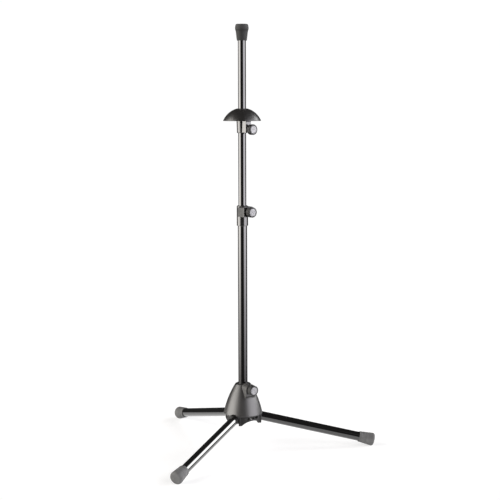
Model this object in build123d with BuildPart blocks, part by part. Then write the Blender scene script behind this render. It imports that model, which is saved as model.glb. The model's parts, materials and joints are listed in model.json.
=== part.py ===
from build123d import *
from math import acos, asin, cos, degrees, radians, sin, sqrt, tan
import os

os.makedirs("parts", exist_ok=True)

# A trombone stand: a folding tripod, a telescoping post, and a dome that carries the bell.
# Millimetres and degrees. The floor is z = 0, leg 1 lies along +X, and the origin is the
# middle of the footprint's box, so the post stands a little to -X of it.

# Tubes and fits
post_r = 10.0
rod_r = 8.5
leg_r = 10.0
tube_wall = 1.0
running_gap = 0.05  # radial gap of every sliding or turning fit
bush_wall = 0.95
hub_bush_wall = 1.15
bush_lip = 1.2  # height of the lips that keep a bush in place
lip_pocket = 1.6
split_width = 1.5  # the slot that lets a bush close on its tube
split_depth = 8.0  # cuts through the bush's wall on one side

# Spread tripod
leg_azimuths = (0, 120, 240)
leg_slope = 13.2  # fall below the horizontal
pivot_r = 28.0  # leg pivot, from the post axis
pivot_z = 73.9
pin_r = 3.0
pin_chamfer = 0.4
leg_start = 12.0  # leg tube's inner end, from the pivot
leg_end = 262.0

# Foot caps, measured along the leg from the pivot
cap_mouth = 234.5
cap_tip = 269.0
cap_mouth_r = 11.6
cap_r = 14.6  # before its corner is rounded
cap_corner_r = 4.5
cap_mouth_chamfer = 0.8
cap_grooves = (249.0, 254.5)
cap_groove_r = 0.55
cap_groove_rise = 0.25  # groove's centre, out from the cap's side

# Leg lugs
lug_half_width = 10.0
lug_half_height = 9.2
lug_chamfer = 2.4
lug_spigot_end = 36.0

# Hub housing
hub_top_z = 144.6
skirt_z = 79.6
skirt_arc_r = 208.5  # the skirt's side is an arc of this radius
skirt_arc_centre = (-161.2, 35.7)
skirt_wall = 3.0
hub_top_chamfer = (1.2, 1.0)
cavity_top_z = 126.0
hub_core_r = 15.0
hub_core_z = 67.6
ear_z = 58.6  # lower end of the clevis ears
ear_toe_r = 32.0  # inside this radius their lower edge climbs
ear_heel = (25.5, 67.0)  # to this radius and height
ear_half_span = 14.0
channel_half_width = 10.25
channel_start = 18.2  # from the post axis
clevis_top_z = 92.0
stop_gap = 0.05
mouth_arch_r = 12.2
web_inner_r = 35.0
web_outer_r = 38.5
web_arch_top = 68.6
web_arch_r = 30.8
rib_half_thickness = 1.5
access_hole_r = 3.3
web_window = (9.2, 5.0)  # across, up; one in the middle of each web
web_window_z = 73.9
web_window_r = 1.2

# Post
post_low = 66.1
post_high = 509.6
end_flange = (3.5, 0.8)  # the end plug's flange: height, reach over the tube

# Clamp collar on the post's top end
collar_r = 12.2
collar_low = 492.2
collar_high = 534.6
collar_block_low = 512.6
collar_block_fillet = 3.0

# Rod, the upper tube
rod_low = 456.6
rod_high = 906.0
guide_length = 18.6
guide_chamfer = 1.0
plug_depth = 19.0
rod_cap_low = 886.1
rod_cap_high = 920.5
rod_cap_side = ((10.2, 0), (10.7, 0.6), (12.8, 18.4))  # radius, height over its lower end
rod_cap_bulb = ((14.0, 22.4), (14.4, 25.8), (13.7, 31.0), (10.8, 34.4))

# Bell rest
sleeve_low = 692.6
sleeve_high = 716.6
sleeve_low_r = 11.0
sleeve_high_r = 12.0
spigot_high = 739.0
dome_r = 44.5  # sphere radius of the umbrella
dome_wall = 3.0
dome_centre_z = 700.2
dome_rim_z = 717.1
dome_top_z = 743.3
dome_roof_z = 740.5
dome_core_r = 14.5
dome_rod_gap = 0.3
dome_rim_fillet = 0.9
seam_r = 0.45
seam_count = 8

# Clamps: azimuth, screw height, front of the block, back of the knob
hub_clamp = (-62, 137.1, 34.1, 37.4)
collar_clamp = (-58, 523.6, 23.7, 28.9)
rest_clamp = (-54, 699.1, 22.0, 28.7)
hub_block_half_width = 11.6
hub_block_root = 2.4  # the block starts this far outside the hub's bore
hub_block_undercut = ((2, -11.3), (-14, -30.9), (2, -36))  # from its front, from the screw
rest_block_half_width = 6.9
rest_block_fillet = 1.2
block_edge = 0.8
screw_r = 2.95
thread_r = 3.0
insert_r = 4.5
insert_most = 10.0
block_root_r = 16.0  # the insert stays outside this radius
screw_clearance_r = 3.3
pad_r = 2.45
pad_length = 3.6
pad_gap = 0.15
knob_r = 11.1
knob_length = 10.8
knob_neck_r = 6.0
knob_neck = 2.5
knob_bevel = 1.5
knob_back_bevel = 0.8
flute_count = 18
flute_r = 1.0
flute_rise = 0.35  # flute's centre, out from the knob's side
disc_r = 8.0
disc_thickness = 1.2
disc_recess = 1.0
disc_edge = 0.18
hex_flats = 10.0
hex_depth = 4.8  # from the knob's back to the screw head
hex_thickness = 4.0

# Worked out from the above
slope = radians(leg_slope)
corner_along = cap_tip - cap_corner_r
corner_out = pivot_r + corner_along * cos(slope)
corner_ring_r = cap_r - cap_corner_r
far_reach = corner_out + corner_ring_r * sin(slope) + cap_corner_r
near_reach = corner_out / 2 + corner_ring_r * sqrt(1 - cos(slope) ** 2 / 4) + cap_corner_r
post_x = (near_reach - far_reach) / 2
post_axis = Axis((post_x, 0, 0), (0, 0, 1))
post_bore_r = post_r - tube_wall
hub_bush_r = post_r + running_gap + hub_bush_wall
hub_bore_r = hub_bush_r + running_gap
rod_bush_r = rod_r + running_gap + bush_wall
rod_bore_r = rod_bush_r + running_gap


def level(height):
    """The horizontal plane at a height, centred on the post axis."""
    return Plane(origin=(post_x, 0, height))


def upright(azimuth):
    """The vertical plane through the post axis: x is the radius, y the height."""
    turn = radians(azimuth)
    return Plane(
        origin=(post_x, 0, 0),
        x_dir=(cos(turn), sin(turn), 0),
        z_dir=(sin(turn), -cos(turn), 0),
    )


def facing(azimuth, height, along=0.0):
    """The plane that faces out from the post axis: x is sideways, y up, z outward."""
    turn = radians(azimuth)
    return Plane(
        origin=(post_x + along * cos(turn), along * sin(turn), height),
        x_dir=(-sin(turn), cos(turn), 0),
        z_dir=(cos(turn), sin(turn), 0),
    )


def outward(azimuth):
    """The horizontal axis from the post axis towards an azimuth."""
    return Axis((post_x, 0, 0), facing(azimuth, 0).z_dir)


def leg_section(azimuth, along=0.0):
    """The plane across a leg: x is sideways, y up, z outward along the leg from its pivot."""
    turn = radians(azimuth)
    out = Vector(cos(turn) * cos(slope), sin(turn) * cos(slope), -sin(slope))
    pivot = Vector(post_x + pivot_r * cos(turn), pivot_r * sin(turn), pivot_z)
    return Plane(origin=pivot + out * along, x_dir=(-sin(turn), cos(turn), 0), z_dir=out)


def leg_side(azimuth):
    """The upright plane along a leg: x is the distance from the pivot, y is up."""
    section = leg_section(azimuth)
    return Plane(origin=section.origin, x_dir=section.z_dir, z_dir=-section.x_dir)


def skirt_radius(height, depth=0.0):
    """Radius of the hub's side at a height, at a depth under its surface."""
    centre_r, centre_z = skirt_arc_centre
    return centre_r + sqrt((skirt_arc_r - depth) ** 2 - (height - centre_z) ** 2)


def skirt_curve(low, high, depth=0.0):
    """The ends of a stretch of the hub's side, with the point where their tangents meet."""
    centre_r, centre_z = skirt_arc_centre
    radius = skirt_arc_r - depth
    start, end = (asin((height - centre_z) / radius) for height in (low, high))
    middle = (start + end) / 2
    reach = radius / cos((end - start) / 2)
    corner = (centre_r + reach * cos(middle), centre_z + reach * sin(middle))
    return (skirt_radius(low, depth), low), corner, (skirt_radius(high, depth), high)


def ring(low, high, outer, inner=0.0, mode=Mode.ADD):
    """Adds or cuts a ring, or a disc, round the post axis between two heights."""
    with BuildSketch(level(low)) as outline:
        Circle(outer)
        if inner:
            Circle(inner, mode=Mode.SUBTRACT)
    extrude(outline.sketch, amount=high - low, mode=mode)


def drill(clamp, start, end, radius):
    """Cuts a round hole along a clamp's screw axis, between two distances from the post."""
    azimuth, height = clamp[:2]
    with BuildSketch(facing(azimuth, height, start)) as outline:
        Circle(radius)
    extrude(outline.sketch, amount=end - start, mode=Mode.SUBTRACT)


def drill_clamp(clamp, bush_r):
    """Cuts the pad's hole, the screw's hole and the insert's pocket into a clamp block."""
    block_front = clamp[2]
    pad_end = bush_r + pad_gap + pad_length
    insert_start = block_front - insert_length(clamp)
    drill(clamp, bush_r - 0.5, pad_end, pad_r + running_gap)
    drill(clamp, pad_end - 0.2, insert_start, screw_clearance_r)
    drill(clamp, insert_start, block_front + 1, insert_r)


def insert_length(clamp):
    """The insert fills the outer part of the block."""
    return min(insert_most, clamp[2] - block_root_r)


def save(piece, name):
    """Labels a finished piece and writes its STEP file."""
    piece.part.label = name
    export_step(piece.part, f"parts/{name}.step")


# ---------------------------------------------------------------- hub housing


def clevis_blocks():
    """The blocks that take the leg pivots, trimmed to the middle of the skirt's wall."""
    trim = skirt_wall / 2
    with BuildPart() as blocks:
        for azimuth in leg_azimuths:
            with BuildSketch(upright(azimuth)):
                with BuildLine():
                    Polyline(
                        (hub_core_r - 2, hub_core_z),
                        ear_heel,
                        (ear_toe_r, ear_z),
                        (skirt_radius(skirt_z), ear_z),
                        (skirt_radius(skirt_z), clevis_top_z),
                        (hub_core_r - 2, clevis_top_z),
                        close=True,
                    )
                make_face()
            extrude(amount=ear_half_span, both=True)
        with BuildSketch(upright(0)):
            with BuildLine():
                side = Bezier(*skirt_curve(skirt_z, clevis_top_z + 4, trim))
                Polyline(
                    side @ 1,
                    (hub_core_r - 2, clevis_top_z + 4),
                    (hub_core_r - 2, ear_z - 4),
                    (skirt_radius(skirt_z, trim), ear_z - 4),
                    side @ 0,
                )
            make_face()
        revolve(axis=post_axis, mode=Mode.INTERSECT)
    return blocks


def hub_clamp_block():
    """Arch-topped block with an undercut front, standing out from the hub's side."""
    azimuth, height, front = hub_clamp[:3]
    start = hub_bore_r + hub_block_root
    with BuildPart() as block:
        with BuildSketch(facing(azimuth, height, start)):
            Circle(hub_block_half_width)
            with Locations((0, -hub_block_half_width)):
                Rectangle(2 * hub_block_half_width, 2 * hub_block_half_width)
        extrude(amount=front - start)
        chamfer(block.faces().sort_by(outward(azimuth))[-1].edges(), block_edge)
        with BuildSketch(upright(azimuth)):
            with BuildLine():
                Polyline(*[(front + out, height + up) for out, up in hub_block_undercut], close=True)
            make_face()
        extrude(amount=hub_block_half_width + 1, both=True, mode=Mode.SUBTRACT)
    return block


clevises = clevis_blocks()
clamp_block = hub_clamp_block()

with BuildPart() as hub_housing:
    # The skirt, its roof and the core that carries the bush
    with BuildSketch(upright(0)):
        with BuildLine():
            outer = Bezier(*skirt_curve(skirt_z, hub_top_z - hub_top_chamfer[1]))
            inner = Bezier(*skirt_curve(skirt_z, cavity_top_z, skirt_wall))
            Line(inner @ 0, outer @ 0)
            Polyline(
                outer @ 1,
                ((outer @ 1).X - hub_top_chamfer[0], hub_top_z),
                (hub_bore_r, hub_top_z),
                (hub_bore_r, hub_core_z),
                (hub_core_r, hub_core_z),
                (hub_core_r, cavity_top_z),
                inner @ 1,
            )
        make_face()
    revolve(axis=post_axis)
    # The web between the legs, arched at its lower edge
    ring(ear_z, clevis_top_z, web_outer_r, web_inner_r)
    for azimuth in leg_azimuths:
        with BuildSketch(facing(azimuth + 60, web_arch_top - web_arch_r, hub_core_r + 5)):
            Circle(web_arch_r)
        extrude(amount=web_outer_r, mode=Mode.SUBTRACT)
        with BuildSketch(facing(azimuth + 60, web_window_z, hub_core_r + 5)):
            RectangleRounded(*web_window, web_window_r)
        extrude(amount=web_outer_r, mode=Mode.SUBTRACT)
    # A rib from the core to each web
    for azimuth in leg_azimuths:
        with BuildSketch(upright(azimuth + 60)):
            with BuildLine():
                Polyline(
                    (hub_core_r - 1, hub_core_z + 6),
                    (web_inner_r + 1, web_window_z + web_window[1]),
                    (web_inner_r + 1, clevis_top_z + 2),
                    (hub_core_r - 1, clevis_top_z + 8),
                    close=True,
                )
            make_face()
        extrude(amount=rib_half_thickness, both=True)
    add(clevises.part)
    # The legs' channels, with a sloping roof that stops the spread leg
    for azimuth in leg_azimuths:
        roof = pivot_z + (lug_half_height + stop_gap) / cos(slope)
        with BuildSketch(upright(azimuth)):
            with BuildLine():
                Polyline(
                    (channel_start, ear_z - 2),
                    (channel_start, roof + (pivot_r - channel_start) * tan(slope)),
                    (50, roof + (pivot_r - 50) * tan(slope)),
                    (50, ear_z - 2),
                    close=True,
                )
            make_face()
        extrude(amount=channel_half_width, both=True, mode=Mode.SUBTRACT)
        with BuildSketch(leg_section(azimuth, 8)):
            Circle(mouth_arch_r)
            Rectangle(2 * channel_half_width, 4 * mouth_arch_r, mode=Mode.INTERSECT)
        extrude(amount=20, mode=Mode.SUBTRACT)
    # Pin holes through the ears, and holes in the webs to press the pins in
    for azimuth in leg_azimuths:
        with BuildSketch(leg_side(azimuth)):
            Circle(pin_r)
        extrude(amount=ear_half_span + 1, both=True, mode=Mode.SUBTRACT)
        for side in (-1, 1):
            with BuildSketch(leg_side(azimuth).offset(side * (ear_half_span + 0.5))):
                Circle(access_hole_r)
            extrude(amount=side * 16, mode=Mode.SUBTRACT)
    add(clamp_block.part)
    ring(hub_core_z - 1, hub_top_z + 20, hub_bore_r, mode=Mode.SUBTRACT)
    drill_clamp(hub_clamp, hub_bush_r)
save(hub_housing, "hub_housing")

with BuildPart() as hub_bush:
    low = post_low + 2 * running_gap
    high = hub_top_z + running_gap + bush_lip
    ring(low, high, hub_bush_r)
    ring(low, low + bush_lip, hub_bush_r + 0.7)
    ring(high - bush_lip, high, hub_bush_r + 2.0)
    ring(low, high, post_r + running_gap, mode=Mode.SUBTRACT)
    with BuildSketch(facing(hub_clamp[0] + 180, (low + high) / 2, post_r - 2)):
        Rectangle(split_width, high - low + 2)
    extrude(amount=split_depth, mode=Mode.SUBTRACT)
save(hub_bush, "hub_bush")

# ---------------------------------------------------------------- legs


def build_leg(number, azimuth):
    """One leg's lug, tube, foot cap and pivot pin."""
    side = leg_side(azimuth)
    leg_axis = Axis(side.origin, side.x_dir)

    with BuildPart() as lug:
        with BuildSketch(side):
            Circle(lug_half_height)
            with Locations((leg_start / 2, 0)):
                Rectangle(leg_start, 2 * lug_half_height)
        extrude(amount=lug_half_width, both=True)
        chamfer(lug.edges().filter_by(leg_axis), lug_chamfer)
        with BuildSketch(leg_section(azimuth, leg_start)):
            Circle(leg_r - tube_wall)
        extrude(amount=lug_spigot_end - leg_start)
        with BuildSketch(side):
            Circle(pin_r + running_gap)
        extrude(amount=lug_half_width + 1, both=True, mode=Mode.SUBTRACT)
    save(lug, f"leg_{number}_lug")

    with BuildPart() as tube:
        with BuildSketch(leg_section(azimuth, leg_start)):
            Circle(leg_r)
            Circle(leg_r - tube_wall, mode=Mode.SUBTRACT)
        extrude(amount=leg_end - leg_start)
    save(tube, f"leg_{number}_tube")

    with BuildPart() as cap:
        with BuildSketch(side) as profile:
            with BuildLine():
                Polyline(
                    (leg_end, 0),
                    (leg_end, leg_r),
                    (cap_mouth, leg_r),
                    (cap_mouth, cap_mouth_r),
                    (cap_tip, cap_r),
                    (cap_tip, 0),
                    close=True,
                )
            make_face()
            fillet(profile.vertices().sort_by(Axis.Y)[-1], cap_corner_r)
        revolve(axis=leg_axis)
        mouth = cap.edges().filter_by(GeomType.CIRCLE).sort_by(leg_axis)[:2].sort_by(SortBy.RADIUS)
        chamfer(mouth[-1], cap_mouth_chamfer)
        with BuildSketch(side):
            for groove in cap_grooves:
                rise = (cap_r - cap_mouth_r) * (groove - cap_mouth) / (cap_tip - cap_mouth)
                with Locations((groove, cap_mouth_r + rise + cap_groove_rise)):
                    Circle(cap_groove_r)
        revolve(axis=leg_axis, mode=Mode.SUBTRACT)
        foot = leg_section(azimuth, corner_along).origin
        with BuildSketch(Plane.XY):
            with Locations((foot.X, foot.Y)):
                Rectangle(5 * cap_r, 5 * cap_r)
        extrude(amount=-cap_r, mode=Mode.SUBTRACT)
    save(cap, f"leg_{number}_foot_cap")

    with BuildPart() as pin:
        with BuildSketch(side):
            Circle(pin_r)
        extrude(amount=ear_half_span, both=True)
        chamfer(pin.edges().filter_by(GeomType.CIRCLE), pin_chamfer)
    save(pin, f"leg_{number}_pin")


for number, azimuth in enumerate(leg_azimuths, start=1):
    build_leg(number, azimuth)

# ---------------------------------------------------------------- post

with BuildPart() as post_tube:
    ring(post_low, post_high, post_r, post_bore_r)
save(post_tube, "post_tube")

with BuildPart() as post_end_plug:
    height, reach = end_flange
    ring(post_low - height, post_low, post_r + reach)
    chamfer(post_end_plug.edges().group_by(Axis.Z)[0], block_edge)
    ring(post_low, post_low + plug_depth, post_bore_r)
save(post_end_plug, "post_end_plug")

with BuildPart() as clamp_collar:
    azimuth, _, front, _ = collar_clamp
    with BuildSketch(facing(azimuth, (collar_block_low + collar_high) / 2)):
        Rectangle(2 * collar_r, collar_high - collar_block_low)
    extrude(amount=front)
    corners = clamp_collar.edges().filter_by(outward(azimuth))
    fillet(corners.group_by(Axis.Z)[-1], collar_block_fillet)
    fillet(clamp_collar.faces().sort_by(outward(azimuth))[-1].edges(), block_edge)
    ring(collar_low, collar_high, collar_r)
    chamfer(clamp_collar.edges().group_by(Axis.Z)[0], block_edge)
    ring(collar_low, post_high + lip_pocket, post_r, mode=Mode.SUBTRACT)
    ring(post_high, collar_high + 1, rod_bore_r, mode=Mode.SUBTRACT)
    drill_clamp(collar_clamp, rod_bush_r)
save(clamp_collar, "clamp_collar")

with BuildPart() as collar_bush:
    low = post_high + 0.2
    high = collar_high + running_gap + bush_lip
    ring(low, high, rod_bush_r)
    ring(low, low + bush_lip, rod_bush_r + 0.35)
    ring(high - bush_lip, high, rod_bush_r + 1.4)
    ring(low, high, rod_r + running_gap, mode=Mode.SUBTRACT)
    with BuildSketch(facing(collar_clamp[0] + 180, (low + high) / 2, rod_r - 2)):
        Rectangle(split_width, high - low + 2)
    extrude(amount=split_depth, mode=Mode.SUBTRACT)
save(collar_bush, "collar_bush")

# ---------------------------------------------------------------- rod

with BuildPart() as rod_tube:
    ring(rod_low, rod_high, rod_r, rod_r - tube_wall)
save(rod_tube, "rod_tube")

with BuildPart() as rod_guide:
    ring(rod_low - guide_length, rod_low, post_bore_r - running_gap)
    chamfer(rod_guide.edges().group_by(Axis.Z)[0], guide_chamfer)
    ring(rod_low, rod_low + plug_depth, rod_r - tube_wall)
save(rod_guide, "rod_guide")

with BuildPart() as rod_cap:
    with BuildSketch(upright(0)):
        with BuildLine():
            side = [(radius, rod_cap_low + up) for radius, up in rod_cap_side]
            bulb = [(radius, rod_cap_low + up) for radius, up in rod_cap_bulb]
            Polyline((0, rod_high), (rod_r, rod_high), (rod_r, rod_cap_low), *side)
            Spline(side[-1], *bulb, tangents=((0.12, 1), (-1, 0)))
            Polyline(bulb[-1], (0, rod_cap_high), (0, rod_high))
        make_face()
    revolve(axis=post_axis)
save(rod_cap, "rod_cap")

# ---------------------------------------------------------------- bell rest


def dome_arc(radius, end):
    """An arc about the umbrella's centre, from the rim's height up to an angle in radians."""
    start = asin((dome_rim_z - dome_centre_z) / radius)
    return CenterArc((0, dome_centre_z), radius, degrees(start), degrees(end - start))


with BuildPart() as bell_umbrella:
    with BuildSketch(upright(0)):
        with BuildLine():
            outer = dome_arc(dome_r, asin((dome_top_z - dome_centre_z) / dome_r))
            inner = dome_arc(dome_r - dome_wall, acos(dome_core_r / (dome_r - dome_wall)))
            Line(inner @ 0, outer @ 0)
            Polyline(
                outer @ 1,
                (rod_r + dome_rod_gap, dome_top_z),
                (rod_r + dome_rod_gap, dome_roof_z),
                (sleeve_low_r, dome_roof_z),
                (sleeve_low_r, dome_rim_z),
                (dome_core_r, dome_rim_z),
                inner @ 1,
            )
        make_face()
    revolve(axis=post_axis)
    fillet(bell_umbrella.edges().group_by(Axis.Z)[0].sort_by(SortBy.RADIUS)[-1], dome_rim_fillet)
    # Moulded seam lines between the gores
    for seam in range(seam_count // 2):
        with BuildSketch(level(dome_centre_z)):
            turn = radians(rest_clamp[0] + 90 + seam * 360 / seam_count)
            with Locations((dome_r * sin(turn), -dome_r * cos(turn))):
                Circle(seam_r)
        hinge = Axis((post_x, 0, dome_centre_z), (cos(turn), sin(turn), 0))
        revolve(axis=hinge, mode=Mode.SUBTRACT)
save(bell_umbrella, "bell_umbrella")

with BuildPart() as rest_sleeve:
    azimuth, _, front, _ = rest_clamp
    with BuildSketch(facing(azimuth, (sleeve_low + sleeve_high) / 2)):
        Rectangle(2 * rest_block_half_width, sleeve_high - sleeve_low)
    extrude(amount=front)
    fillet(rest_sleeve.faces().sort_by(outward(azimuth))[-1].edges(), rest_block_fillet)
    with BuildSketch(upright(0)):
        with BuildLine():
            Polyline(
                (0, sleeve_low),
                (sleeve_low_r, sleeve_low),
                (sleeve_high_r, sleeve_high),
                (sleeve_low_r, sleeve_high),
                (sleeve_low_r, spigot_high),
                (0, spigot_high),
                close=True,
            )
        make_face()
    revolve(axis=post_axis)
    ring(sleeve_low - 1, spigot_high + 1, rod_bore_r, mode=Mode.SUBTRACT)
    drill_clamp(rest_clamp, rod_bush_r)
save(rest_sleeve, "rest_sleeve")

with BuildPart() as rest_bush:
    low = sleeve_low - running_gap - bush_lip
    high = spigot_high + running_gap + bush_lip
    ring(low, high, rod_bush_r)
    ring(low, low + bush_lip, rod_bush_r + 1.3)
    ring(high - bush_lip, high, rod_bush_r + 0.6)
    ring(low, high, rod_r + running_gap, mode=Mode.SUBTRACT)
    with BuildSketch(facing(rest_clamp[0] + 180, (low + high) / 2, rod_r - 2)):
        Rectangle(split_width, high - low + 2)
    extrude(amount=split_depth, mode=Mode.SUBTRACT)
save(rest_bush, "rest_bush")

# ---------------------------------------------------------------- clamps


def build_clamp(name, clamp, bush_r):
    """One clamp's insert, pad, screw, knob and the disc on the knob's face."""
    azimuth, height, block_front, knob_back = clamp
    screw_axis = outward(azimuth)
    pad_start = bush_r + pad_gap
    screw_start = pad_start + pad_length + running_gap
    knob_face = knob_back + knob_length
    head_start = knob_back + hex_depth

    with BuildPart() as insert:
        length = insert_length(clamp)
        with BuildSketch(facing(azimuth, height, block_front - length)):
            Circle(insert_r)
            Circle(thread_r, mode=Mode.SUBTRACT)
        extrude(amount=length)
    save(insert, f"{name}_insert")

    with BuildPart() as pad:
        with BuildSketch(facing(azimuth, height, pad_start)):
            Circle(pad_r)
        extrude(amount=pad_length)
    save(pad, f"{name}_pad")

    with BuildPart() as screw:
        with BuildSketch(facing(azimuth, height, screw_start)):
            Circle(screw_r)
        extrude(amount=head_start - screw_start)
        with BuildSketch(facing(azimuth, height, head_start)):
            RegularPolygon(hex_flats / 2, 6, major_radius=False)
        extrude(amount=hex_thickness)
    save(screw, f"{name}_screw")

    with BuildPart() as knob:
        with BuildSketch(facing(azimuth, height, knob_back)):
            Circle(knob_r)
        extrude(amount=knob_length)
        chamfer(knob.faces().sort_by(screw_axis)[-1].edges(), knob_bevel)
        chamfer(knob.faces().sort_by(screw_axis)[0].edges(), knob_back_bevel)
        with BuildSketch(facing(azimuth, height, knob_back)):
            with PolarLocations(knob_r + flute_rise, flute_count):
                Circle(flute_r)
        extrude(amount=knob_length, mode=Mode.SUBTRACT)
        with BuildSketch(facing(azimuth, height, knob_back - knob_neck)):
            Circle(knob_neck_r)
        extrude(amount=knob_neck)
        with BuildSketch(facing(azimuth, height, knob_back - knob_neck - 1)):
            Circle(screw_r)
        extrude(amount=knob_neck + 1 + hex_depth, mode=Mode.SUBTRACT)
        with BuildSketch(facing(azimuth, height, head_start)):
            RegularPolygon(hex_flats / 2, 6, major_radius=False)
        extrude(amount=knob_length, mode=Mode.SUBTRACT)
        with BuildSketch(facing(azimuth, height, knob_face - disc_recess)):
            Circle(disc_r)
        extrude(amount=disc_recess + 1, mode=Mode.SUBTRACT)
    save(knob, f"{name}_knob")

    with BuildPart() as disc:
        with BuildSketch(facing(azimuth, height, knob_face - disc_recess)):
            Circle(disc_r)
        extrude(amount=disc_thickness)
        chamfer(disc.faces().sort_by(screw_axis)[-1].edges(), disc_edge)
    save(disc, f"{name}_knob_disc")


build_clamp("hub", hub_clamp, hub_bush_r)
build_clamp("collar", collar_clamp, rod_bush_r)
build_clamp("rest", rest_clamp, rod_bush_r)
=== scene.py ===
import json
from math import asin, atan2, cos, pi, radians, sin, sqrt

import bmesh
import bpy
from mathutils import Matrix, Vector

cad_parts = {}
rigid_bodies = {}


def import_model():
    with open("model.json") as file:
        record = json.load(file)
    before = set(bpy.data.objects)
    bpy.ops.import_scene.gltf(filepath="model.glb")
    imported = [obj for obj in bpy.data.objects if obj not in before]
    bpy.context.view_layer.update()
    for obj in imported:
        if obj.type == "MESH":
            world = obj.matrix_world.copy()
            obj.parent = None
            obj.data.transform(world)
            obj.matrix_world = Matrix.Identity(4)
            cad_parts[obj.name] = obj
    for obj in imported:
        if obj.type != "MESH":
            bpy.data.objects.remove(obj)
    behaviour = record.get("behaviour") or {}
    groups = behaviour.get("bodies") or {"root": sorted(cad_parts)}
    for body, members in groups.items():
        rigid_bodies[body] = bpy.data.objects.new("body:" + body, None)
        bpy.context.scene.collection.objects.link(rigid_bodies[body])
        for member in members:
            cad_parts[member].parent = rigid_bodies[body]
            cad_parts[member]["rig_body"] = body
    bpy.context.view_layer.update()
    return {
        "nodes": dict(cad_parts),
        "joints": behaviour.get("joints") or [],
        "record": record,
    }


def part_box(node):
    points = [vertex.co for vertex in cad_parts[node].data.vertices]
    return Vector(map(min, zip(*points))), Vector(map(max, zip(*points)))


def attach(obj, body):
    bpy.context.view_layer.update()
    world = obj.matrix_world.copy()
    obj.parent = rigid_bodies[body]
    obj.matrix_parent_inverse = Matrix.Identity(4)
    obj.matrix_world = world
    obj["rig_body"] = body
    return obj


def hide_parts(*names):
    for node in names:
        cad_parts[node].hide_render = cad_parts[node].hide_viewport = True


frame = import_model()
nodes = frame["nodes"]


def middle(name):
    """The middle of a CAD node's box."""
    low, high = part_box(name)
    return (low + high) / 2


post = middle("post_tube")
POST_X = post.x
POST_Y = post.y

# ------------------------------------------------------------------ camera
# Metres from the post's foot and degrees; the heading turns the whole camera about the post
CAMERA_SIDE = 0.01614
CAMERA_BACK = 2.53308
CAMERA_HEIGHT = 0.76361
CAMERA_PITCH = 7.299
CAMERA_ROLL = -0.142
CAMERA_HEADING = -2.564
LENS = 84.97

camera_data = bpy.data.cameras.new("camera")
camera_data.lens = LENS
camera_data.sensor_width = 36
camera_data.clip_end = 50
camera = bpy.data.objects.new("camera", camera_data)
bpy.context.scene.collection.objects.link(camera)
camera.matrix_world = (
    Matrix.Translation((POST_X, POST_Y, 0))
    @ Matrix.Rotation(radians(CAMERA_HEADING), 4, "Z")
    @ Matrix.Translation((CAMERA_SIDE, -CAMERA_BACK, CAMERA_HEIGHT))
    @ Matrix.Rotation(radians(90 - CAMERA_PITCH), 4, "X")
    @ Matrix.Rotation(radians(CAMERA_ROLL), 4, "Z")
)
bpy.context.scene.camera = camera


# ------------------------------------------------------------------ node helpers
class Graph:
    """Adds and links shader nodes, so that a material reads as a list of steps."""

    def __init__(self, tree):
        self.tree = tree
        tree.nodes.clear()

    def add(self, kind, inputs=None, **settings):
        """A new node; inputs are values or sockets by name or index, settings its attributes."""
        node = self.tree.nodes.new(kind)
        for name, value in settings.items():
            setattr(node, name, value)
        for name, value in (inputs or {}).items():
            if isinstance(value, bpy.types.NodeSocket):
                self.tree.links.new(value, node.inputs[name])
            else:
                node.inputs[name].default_value = value
        return node

    def math(self, operation, a, b=0.0, clamp=False):
        """One step of arithmetic on values or sockets."""
        return self.add("ShaderNodeMath", {0: a, 1: b}, operation=operation, use_clamp=clamp).outputs[0]

    def scale(self, vector, by):
        """The vector stretched by a factor on each axis."""
        return self.add("ShaderNodeVectorMath", {0: vector, 1: by}, operation="MULTIPLY").outputs[0]

    def noise(self, vector, scale, detail=2.0, roughness=0.5):
        """Noise from 0 to 1; scale is in waves to the metre."""
        return self.add(
            "ShaderNodeTexNoise",
            {"Vector": vector, "Scale": scale, "Detail": detail, "Roughness": roughness},
        ).outputs["Fac"]

    def remap(self, value, low, high, out_low=0.0, out_high=1.0):
        """The value moved from one range to another, and held inside it."""
        return self.add(
            "ShaderNodeMapRange", {0: value, 1: low, 2: high, 3: out_low, 4: out_high}, clamp=True
        ).outputs[0]

    def mix(self, factor, a, b):
        """A mix of two colours."""
        node = self.tree.nodes.new("ShaderNodeMix")
        node.data_type = "RGBA"
        for socket, value in ((node.inputs[0], factor), (node.inputs[6], a), (node.inputs[7], b)):
            if isinstance(value, bpy.types.NodeSocket):
                self.tree.links.new(value, socket)
            else:
                socket.default_value = value
        return node.outputs[2]

    def bump(self, height, strength, distance, normal=None):
        """A bumped normal, on top of another one if given."""
        inputs = {"Height": height, "Strength": strength, "Distance": distance}
        if normal is not None:
            inputs["Normal"] = normal
        return self.add("ShaderNodeBump", inputs).outputs[0]


def grey(value, tint=0.0):
    """A grey as a colour; a positive tint warms it and a negative one cools it."""
    return (value * (1 + tint), value, value * (1 - tint), 1)


def material(name):
    """An empty node material and its graph."""
    made = bpy.data.materials.new(name)
    made.use_nodes = True
    return made, Graph(made.node_tree)


def close(graph, color, roughness, normal, **constants):
    """Ends a material in a Principled shader; constants are sockets set to fixed numbers."""
    shader = graph.add("ShaderNodeBsdfPrincipled", {"Base Color": color, "Roughness": roughness})
    if normal is not None:
        graph.tree.links.new(normal, shader.inputs["Normal"])
    for name, value in constants.items():
        shader.inputs[name.replace("_", " ")].default_value = value
    output = graph.add("ShaderNodeOutputMaterial")
    graph.tree.links.new(shader.outputs[0], output.inputs[0])
    return shader


def edges(graph, radius):
    """1 along sharp edges and 0 on flat faces, and the rounded normal whose lean shows it."""
    rounded = graph.add("ShaderNodeBevel", {"Radius": radius}, samples=6).outputs[0]
    flat = graph.add("ShaderNodeNewGeometry").outputs["Normal"]
    lean = graph.add("ShaderNodeVectorMath", {0: rounded, 1: flat}, operation="DOT_PRODUCT")
    return graph.remap(lean.outputs["Value"], 0.995, 0.80), rounded


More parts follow.
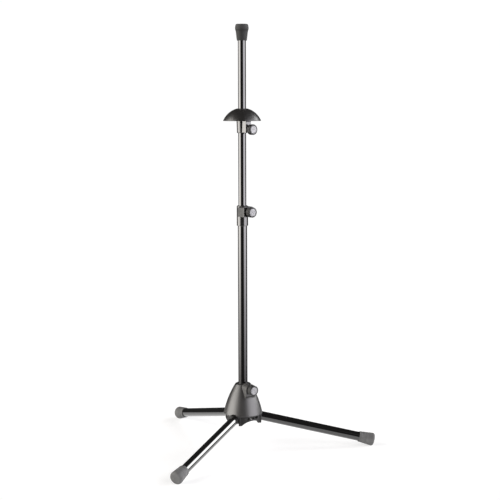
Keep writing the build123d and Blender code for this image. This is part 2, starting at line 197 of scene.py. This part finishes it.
def place(graph):
    """The object's own coordinates in metres, so that a pattern moves with its node."""
    return graph.add("ShaderNodeTexCoord").outputs["Object"]


# ------------------------------------------------------------------ materials
# Painted shade on the hub: under the skirt's lower edge the colour is darkened and the gloss dimmed,
# standing in for the shade there
HUB_SKIRT = 0.0796  # height of the hub skirt's lower edge; the webs and ears are under it
# the painted shade under the hub skirt: its fade-in, how far it darkens the colour, and the gloss it leaves
PAINTED_SHADE_FADE = 0.004
PAINTED_SHADE_TONE = 0.55
PAINTED_SHADE_GLOSS = 0.4
DRAWN_UPRIGHT = (1, 1, 0.04)
BRASS = (0.72, 0.53, 0.25, 1)
GLOSSY = {"rough": (0.12, 0.2), "grain": 500, "depth": 0.08, "coat": 0.6, "specular": 0.9,
          "speck": 0.05, "edge_radius": 0.0}


def enamel(name, lengthways=(1, 1, 1)):
    """Gloss black enamel: a thin orange peel, faint dust, and fine scratches lengthways."""
    made, g = material(name)
    spot = place(g)
    peel = g.noise(spot, 420, 2.0)
    dust = g.noise(spot, 2600, 3.0, 0.6)
    smear = g.noise(g.scale(spot, lengthways), 90, 4.0, 0.65)
    scratch = g.remap(g.noise(g.scale(spot, lengthways), 900, 2.0), 0.68, 0.74)
    color = g.mix(g.remap(dust, 0.62, 0.8, 0, 0.3), grey(0.004, 0.04), grey(0.012, 0.04))
    color = g.mix(g.math("MULTIPLY", scratch, 0.3), color, grey(0.02))
    rough = g.math("ADD", g.remap(smear, 0.3, 0.75, 0.06, 0.11), g.math("MULTIPLY", scratch, 0.06))
    normal = g.bump(peel, 0.02, 0.00002)
    close(g, color, rough, normal, Specular_IOR_Level=0.8, Coat_Weight=1.0, Coat_Roughness=0.04)
    return made


def moulded(name, value, tint=0.0, rough=(0.42, 0.6), grain=1500, depth=0.35, edge_gain=1.6,
            edge_radius=0.0012, coat=0.0, specular=0.5, speck=0.25, painted_shade_below=None):
    """Moulded plastic: a fine spark-eroded grain, slow tone changes and lighter, rubbed edges.

    The last argument is a height under which painted shade makes the surface darker and duller, as the
    shade in a deep hollow would."""
    made, g = material(name)
    spot = place(g)
    broad = g.noise(spot, 26, 3.0, 0.55)
    fine = g.noise(spot, grain, 2.0, 0.6)
    fleck = g.remap(g.noise(spot, grain * 0.45, 3.0, 0.7), 0.6, 0.78)
    edge, rounded = edges(g, edge_radius) if edge_radius else (0.0, None)
    worn = g.math("MULTIPLY", edge, g.remap(g.noise(spot, 140, 4.0, 0.7), 0.35, 0.7), clamp=True)
    color = g.mix(broad, grey(value * 0.85, tint), grey(value * 1.18, tint))
    color = g.mix(g.math("MULTIPLY", fleck, speck), color, grey(value * 1.7, tint))
    color = g.mix(g.math("MULTIPLY", worn, 0.6), color, grey(min(1.0, value * edge_gain), tint))
    roughness = g.math("ADD", g.remap(broad, 0.3, 0.7, *rough), g.math("MULTIPLY", worn, -0.06))
    normal = g.bump(fine, depth, 0.00012, rounded)
    # painted shade: below the given height the colour is darkened and the surface made rougher
    if painted_shade_below:
        height = g.add("ShaderNodeSeparateXYZ", {0: spot}).outputs[2]
        unshaded_share = g.remap(height, painted_shade_below - PAINTED_SHADE_FADE, painted_shade_below + 0.001)
        color = g.mix(unshaded_share, grey(value * PAINTED_SHADE_TONE, tint), color)
        roughness = g.math("ADD", roughness, g.remap(unshaded_share, 0, 1, 0.15, 0))
    shader = close(g, color, roughness, normal, Specular_IOR_Level=specular, Coat_Weight=coat,
                   Coat_Roughness=0.08)
    # painted shade also dims the gloss below that height
    if painted_shade_below:
        gloss = g.remap(unshaded_share, 0, 1, PAINTED_SHADE_GLOSS, specular)
        g.tree.links.new(gloss, shader.inputs["Specular IOR Level"])
    return made


def rubber(name, value, tint=0.0):
    """Matte rubber: a pale bloom, fine pitting and scuffs."""
    made, g = material(name)
    spot = place(g)
    bloom = g.noise(spot, 60, 4.0, 0.6)
    pit = g.noise(spot, 1100, 3.0, 0.65)
    scuff = g.remap(g.noise(g.scale(spot, (1, 1, 3)), 240, 5.0, 0.7), 0.6, 0.75)
    edge, rounded = edges(g, 0.001)
    color = g.mix(g.remap(bloom, 0.35, 0.7), grey(value * 0.8, tint), grey(value * 1.25, tint))
    color = g.mix(g.math("MULTIPLY", scuff, 0.3), color, grey(value * 1.8, tint))
    color = g.mix(g.math("MULTIPLY", edge, 0.35), color, grey(value * 1.6, tint))
    normal = g.bump(pit, 0.4, 0.00015, rounded)
    close(g, color, g.remap(bloom, 0.3, 0.7, 0.62, 0.78), normal, Specular_IOR_Level=0.4)
    return made


def metal(name, color, rough=(0.22, 0.38), stretch=(1, 1, 1), depth=0.1):
    """Bare or plated metal with fine turned or drawn lines."""
    made, g = material(name)
    spot = place(g)
    line = g.noise(g.scale(spot, stretch), 1400, 3.0, 0.6)
    stain = g.noise(spot, 130, 4.0, 0.6)
    tone = g.mix(g.remap(stain, 0.35, 0.7), color, tuple(c * 0.78 for c in color[:3]) + (1,))
    edge, rounded = edges(g, 0.0004)
    normal = g.bump(line, depth, 0.00005, rounded)
    close(g, tone, g.remap(line, 0.3, 0.7, *rough), normal, Metallic=1.0)
    return made


MATERIALS = {
    "tube_enamel": enamel("tube_enamel", DRAWN_UPRIGHT),
    "rod_enamel": enamel("rod_enamel", DRAWN_UPRIGHT),
    "leg_enamel": enamel("leg_enamel"),
    # the hub's plastic carries painted shade under its skirt
    "hub_plastic": moulded("hub_plastic", 0.018, 0.04, rough=(0.36, 0.44), depth=0.5, specular=0.95,
                            painted_shade_below=HUB_SKIRT),
    "lug_plastic": moulded("lug_plastic", 0.03),
    "plug_plastic": moulded("plug_plastic", 0.028),
    "bush_plastic": moulded("bush_plastic", 0.02, rough=(0.35, 0.45), depth=0.15),
    "collar_plastic": moulded("collar_plastic", 0.016, **GLOSSY),
    "sleeve_plastic": moulded("sleeve_plastic", 0.016, **GLOSSY),
    "umbrella_plastic": moulded("umbrella_plastic", 0.009, 0.05, rough=(0.34, 0.42), specular=0.8),
    "knob_plastic": moulded("knob_plastic", 0.018, rough=(0.34, 0.46), grain=1900),
    "foot_rubber": rubber("foot_rubber", 0.11),
    "rod_cap_rubber": rubber("rod_cap_rubber", 0.035),
    "insert_brass": metal("insert_brass", BRASS),
    "pad_brass": metal("pad_brass", BRASS),
    "screw_steel": metal("screw_steel", (0.6, 0.6, 0.61, 1)),
    "pin_steel": metal("pin_steel", (0.32, 0.32, 0.33, 1)),
    "disc_silver": metal("disc_silver", (0.3, 0.3, 0.305, 1), rough=(0.4, 0.5)),
}
for part in frame["record"]["subparts"]:
    node = nodes[part["node"]]
    node.data.materials.clear()
    node.data.materials.append(MATERIALS[part["material_slot"]])

# ------------------------------------------------------------------ pieces
MM = 0.001
AXIS_R = 0.001  # how close to its axis, in millimetres, a turned profile comes
joints = {joint["name"]: joint for joint in frame["joints"]}


def lathe(name, origin, axis, profile, steps, shape=None, floor=False):
    """A closed shell turned about an axis, from a closed loop of (distance along, radius, weight).

    shape(angle, weight) is how far a point moves in; floor flattens what would be under it."""
    out = Vector(axis).normalized()
    side = out.cross(Vector((0, 0, 1)))
    side = side.normalized() if side.length > 0.01 else Vector((1, 0, 0))
    up = side.cross(out)
    points = []
    for step in range(steps):
        angle = 2 * pi * step / steps
        spoke = side * cos(angle) + up * sin(angle)
        for along, radius, weight in profile:
            point = Vector(origin) + out * along + spoke * (radius - (shape(angle, weight) if shape else 0))
            if floor:
                point.z = max(point.z, 0)
            points.append(point)
    count = len(profile)
    faces = []
    for step in range(steps):
        a, b = step * count, (step + 1) % steps * count
        faces += [(a + i, b + i, b + (i + 1) % count, a + (i + 1) % count) for i in range(count)]
    mesh = bpy.data.meshes.new(name)
    mesh.from_pydata(points, [], faces)
    mesh.validate()
    shell = bmesh.new()
    shell.from_mesh(mesh)
    bmesh.ops.remove_doubles(shell, verts=shell.verts, dist=1e-7)
    bmesh.ops.recalc_face_normals(shell, faces=shell.faces)
    shell.to_mesh(mesh)
    shell.free()
    mesh.shade_smooth()
    made = bpy.data.objects.new(name, mesh)
    bpy.context.scene.collection.objects.link(made)
    return made


def finish_piece(piece, node, slot):
    """A new piece takes a CAD node's place, body and material."""
    piece.data.materials.append(MATERIALS[slot])
    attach(piece, nodes[node]["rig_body"])
    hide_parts(node)


# The umbrella: eight gores, each a little flatter than the sphere, with a fine seam between
DOME_R = 44.5 * MM
DOME_WALL = 3 * MM
DOME_SINK = 16.9 * MM  # the sphere's centre below the rim
DOME_CORE_R = 14.5 * MM
DOME_HOLE_R = 8.8 * MM
DOME_ROOF = 2.8 * MM
SLEEVE_R = 11 * MM
GORES = 8
GORE_FLAT = 0.6 * MM
SEAM_DEPTH = 0.5 * MM
SEAM_HALF = 0.024  # radians round the dome
LIP = 0.9 * MM
EDGE_BREAK = 0.4 * MM  # bevel at the core's lower edges
HOLE_BREAK = 0.3 * MM  # bevel at the top hole
CROWN_FLAT = 1.2 * MM  # the crown's level ring ends this far inside the skin
RIM_LIFT = 0.012  # radians between the skin's last point and the rim
CROWN_BLEND = 0.35  # radians below the crown in which the gores reach full depth

low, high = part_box("bell_umbrella")
dome = Vector((POST_X, POST_Y, low.z - DOME_SINK))
top = high.z - dome.z
seam_start = atan2(middle("rest_knob").y - POST_Y, middle("rest_knob").x - POST_X)


def gore(angle, weight):
    """How far the umbrella's skin lies inside the sphere at an angle round it."""
    turn = (angle - seam_start) / (2 * pi / GORES) % 1.0
    across = 2 * turn - 1
    seam = min(turn, 1 - turn) * 2 * pi / GORES
    groove = SEAM_DEPTH * max(0.0, 1 - (seam / SEAM_HALF) ** 2)
    return weight * (GORE_FLAT * (1 - across * across) + groove)


def dome_profile():
    """The umbrella's section as a closed loop, heights from the sphere's centre."""
    skin = []
    inner = DOME_R - DOME_WALL
    shoulder = sqrt(DOME_R ** 2 - top ** 2)
    rim = asin(DOME_SINK / DOME_R)
    crown = asin(top / DOME_R)
    skin_steps = 36
    under_steps = 12
    for i in range(skin_steps + 1):
        rise = crown + (rim + RIM_LIFT - crown) * i / skin_steps
        weight = min(1.0, 0.25 + 0.75 * (crown - rise) / CROWN_BLEND)
        skin.append((DOME_R * sin(rise), DOME_R * cos(rise), weight))
    edge_r = skin[-1][1]
    lip = [(DOME_SINK + LIP * (1 - sin(radians(a))) * 0.55, edge_r - LIP * (1 - cos(radians(a))), 1.0)
           for a in (30, 60, 90)]
    roof = sqrt(inner ** 2 - DOME_CORE_R ** 2)
    under = []
    for i in range(under_steps + 1):
        rise = asin(DOME_SINK / inner) + (asin(roof / inner) - asin(DOME_SINK / inner)) * i / under_steps
        under.append((inner * sin(rise), inner * cos(rise), 0.3 if i == 0 else 0.0))
    core = [(DOME_SINK + EDGE_BREAK, DOME_CORE_R, 0.0), (DOME_SINK, DOME_CORE_R - EDGE_BREAK, 0.0),
            (DOME_SINK, SLEEVE_R + EDGE_BREAK, 0.0), (DOME_SINK + EDGE_BREAK, SLEEVE_R, 0.0),
            (top - DOME_ROOF, SLEEVE_R, 0.0), (top - DOME_ROOF, DOME_HOLE_R, 0.0)]
    crown_ring = [(top - HOLE_BREAK, DOME_HOLE_R, 0.0), (top, DOME_HOLE_R + HOLE_BREAK, 0.0),
                  (top, shoulder - CROWN_FLAT, 0.1)]
    return skin + lip + under + core + crown_ring


umbrella = lathe("umbrella_shell", dome, (0, 0, 1), dome_profile(), 384, gore)
finish_piece(umbrella, "bell_umbrella", "umbrella_plastic")

# The foot caps, in millimetres along the leg from its pivot: three grooves round the side, a
# dished end, and a flat where the cap meets the floor
CAP_MOUTH, CAP_TIP, CAP_TUBE_END = 234.5, 269.0, 262.0
CAP_MOUTH_R, CAP_R, CAP_CORNER, TUBE_R = 11.6, 14.6, 4.5, 10.0
CAP_MOUTH_BREAK = 0.9
CAP_GROOVES = (241.5, 249.0, 254.5)
CAP_GROOVE_DEPTH = 0.55
CAP_GROOVE_HALF = 1.0
CAP_DISH = 0.3
CAP_SIDE_GAP = 0.6  # between the side's last point and the round corner
CAP_INSET = 0.02  # keeps the cap just inside its CAD solid


def cap_profile():
    """A foot cap's section as a closed loop of (distance along, radius, weight)."""
    lean = (CAP_R - CAP_MOUTH_R) / (CAP_TIP - CAP_MOUTH)
    corner_at = CAP_TIP - CAP_CORNER
    corner_r = CAP_CORNER - CAP_INSET
    side_start = CAP_MOUTH + CAP_MOUTH_BREAK
    side_end = corner_at - CAP_SIDE_GAP
    loop = [(side_start, TUBE_R), (CAP_MOUTH + 0.2, TUBE_R + 0.25), (CAP_MOUTH, TUBE_R + 0.8),
            (CAP_MOUTH, CAP_MOUTH_R - CAP_MOUTH_BREAK), (CAP_MOUTH + 0.25, CAP_MOUTH_R - 0.25)]
    side_steps = 84
    for i in range(side_steps + 1):
        along = side_start + (side_end - side_start) * i / side_steps
        dip = sum(CAP_GROOVE_DEPTH * max(0.0, 1 - ((along - groove) / CAP_GROOVE_HALF) ** 2)
                  for groove in CAP_GROOVES)
        loop.append((along, CAP_MOUTH_R + lean * (along - CAP_MOUTH) - dip - CAP_INSET))
    centre_r = CAP_MOUTH_R + lean * (corner_at - CAP_MOUTH) - CAP_CORNER
    corner_steps = 12
    for i in range(1, corner_steps + 1):
        angle = radians(90 * i / corner_steps)
        loop.append((corner_at + corner_r * sin(angle), centre_r + corner_r * cos(angle)))
    dish_steps = 6
    for i in range(1, dish_steps + 1):
        inward = centre_r * (1 - i / dish_steps)
        dish = CAP_DISH * (1 - (inward / centre_r) ** 2)
        loop.append((CAP_TIP - CAP_INSET - dish, max(inward, AXIS_R)))
    loop += [(CAP_TUBE_END + 0.4, AXIS_R), (CAP_TUBE_END + 0.4, TUBE_R)]
    return [(along * MM, radius * MM, 0.0) for along, radius in loop]


for number in (1, 2, 3):
    pivot = Vector(joints[f"leg_{number}_fold"]["pos_m"])
    foot = middle(f"leg_{number}_tube") - pivot
    cap = lathe(f"foot_cap_{number}", pivot, foot, cap_profile(), 96, floor=True)
    finish_piece(cap, f"leg_{number}_foot_cap", "foot_rubber")

# The discs on the knobs, in millimetres: turned, with a raised rim, three sunk rings and a
# centre dimple, and left blank. Each step is a radius and its height over the face
DISC_R = 8.0
DISC_THICK = 1.2
DISC_BREAK = 0.18
DISC_STEPS = ((7.55, 0.0), (7.3, -0.28), (6.9, -0.28), (6.7, -0.05), (5.0, -0.05), (4.85, -0.22),
              (4.55, -0.22), (4.4, -0.05), (2.6, -0.05), (2.45, -0.22), (2.2, -0.22), (2.05, -0.05),
              (1.3, -0.05), (0.7, -0.28), (0.002, -0.36))

for clamp in ("hub", "collar", "rest"):
    out = Vector(joints[f"{clamp}_knob_turn"]["axis"])
    low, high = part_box(f"{clamp}_knob_disc")
    face = (low + high) / 2 - out * (DISC_THICK / 2 * MM)
    loop = [(0.0, 0.002), (0.0, DISC_R), (DISC_THICK - DISC_BREAK, DISC_R),
            (DISC_THICK - 0.05, DISC_R - 0.05), (DISC_THICK, DISC_R - DISC_BREAK)]
    loop += [(DISC_THICK + step, radius) for radius, step in DISC_STEPS]
    profile = [(along * MM, radius * MM, 0.0) for along, radius in loop]
    disc = lathe(f"{clamp}_disc", face, out, profile, 96)
    disc.data.shade_flat()
    finish_piece(disc, f"{clamp}_knob_disc", "disc_silver")

# ------------------------------------------------------------------ studio
# The floor is a round of pale paper that glows a little and fades out towards its edge
FLOOR_REACH = 0.52
FLOOR_FADE = 0.32
FLOOR_GLOW = 0.62
FLOOR_POINTS = 96

floor_mesh = bpy.data.meshes.new("floor")
floor_angles = [2 * pi * i / FLOOR_POINTS for i in range(FLOOR_POINTS)]
floor_mesh.from_pydata(
    [(POST_X + FLOOR_REACH * cos(angle), FLOOR_REACH * sin(angle), 0) for angle in floor_angles],
    [], [tuple(range(FLOOR_POINTS))],
)
floor = bpy.data.objects.new("floor", floor_mesh)
bpy.context.scene.collection.objects.link(floor)
floor_material, g = material("floor_paper")
spot = g.add("ShaderNodeVectorMath", {0: place(g), 1: (-POST_X, 0, 0)}, operation="ADD").outputs[0]
reach = g.add("ShaderNodeVectorMath", {0: spot}, operation="LENGTH").outputs["Value"]
fade = g.remap(reach, FLOOR_FADE, FLOOR_REACH)
paper = g.add("ShaderNodeBsdfDiffuse", {"Color": g.mix(g.noise(spot, 600, 3.0), grey(0.48), grey(0.52))})
glow = g.add("ShaderNodeEmission", {"Color": (1, 1, 1, 1), "Strength": FLOOR_GLOW})
lit = g.add("ShaderNodeAddShader", {0: paper.outputs[0], 1: glow.outputs[0]})
clear = g.add("ShaderNodeBsdfTransparent")
both = g.add("ShaderNodeMixShader", {0: fade, 1: lit.outputs[0], 2: clear.outputs[0]})
g.add("ShaderNodeOutputMaterial", {0: both.outputs[0]})
floor.data.materials.append(floor_material)

# Soft panels round the stand, as patches of sky, in degrees: azimuth from and to, then the four
# heights between which each fades in and out, then its brightness and colour
WARM, COOL = (1.0, 0.965, 0.92), (0.975, 0.955, 1.0)
PANELS = (
    (160, 221, -15, -6, 34, 50, 5.8, WARM),
    (-58, 4, -15, -6, 32, 46, 4.4, COOL),
    (8, 32, 6, 12, 38, 44, 8.5, (1, 1, 1)),
)
PANEL_EDGE = 12.0
AMBIENT = 0.04
BACKDROP = (1.02, 1.02, 1.02, 1)  # what the camera sees in place of the panels

world = bpy.data.worlds.new("studio")
bpy.context.scene.world = world
world.use_nodes = True
g = Graph(world.node_tree)
direction = g.add("ShaderNodeTexCoord").outputs["Generated"]
axis = g.add("ShaderNodeSeparateXYZ", {0: direction})
turn = g.math("MULTIPLY", g.math("ARCTAN2", axis.outputs[1], axis.outputs[0]), 180 / pi)
rise = g.math("MULTIPLY", g.math("ARCSINE", axis.outputs[2]), 180 / pi)
light = (AMBIENT, AMBIENT, AMBIENT)
for start, end, low, low_full, high_full, high, bright, tone in PANELS:
    away = g.math("WRAP", g.math("SUBTRACT", turn, (start + end) / 2), 180.0)
    away.node.inputs[2].default_value = -180.0
    half = (end - start) / 2
    share = g.remap(g.math("ABSOLUTE", away), half + PANEL_EDGE / 2, half - PANEL_EDGE / 2, 0, bright)
    share = g.math("MULTIPLY", share, g.remap(rise, low, low_full))
    share = g.math("MULTIPLY", share, g.remap(rise, high, high_full))
    glow = g.add("ShaderNodeVectorMath", {0: tone, 3: share}, operation="SCALE").outputs[0]
    light = g.add("ShaderNodeVectorMath", {0: light, 1: glow}, operation="ADD").outputs[0]
seen = g.add("ShaderNodeLightPath").outputs["Is Camera Ray"]
shown = g.mix(seen, light, BACKDROP)
sky = g.add("ShaderNodeBackground", {"Color": shown, "Strength": 1.0})
g.add("ShaderNodeOutputWorld", {0: sky.outputs[0]})

bpy.context.scene.view_settings.view_transform = "Standard"
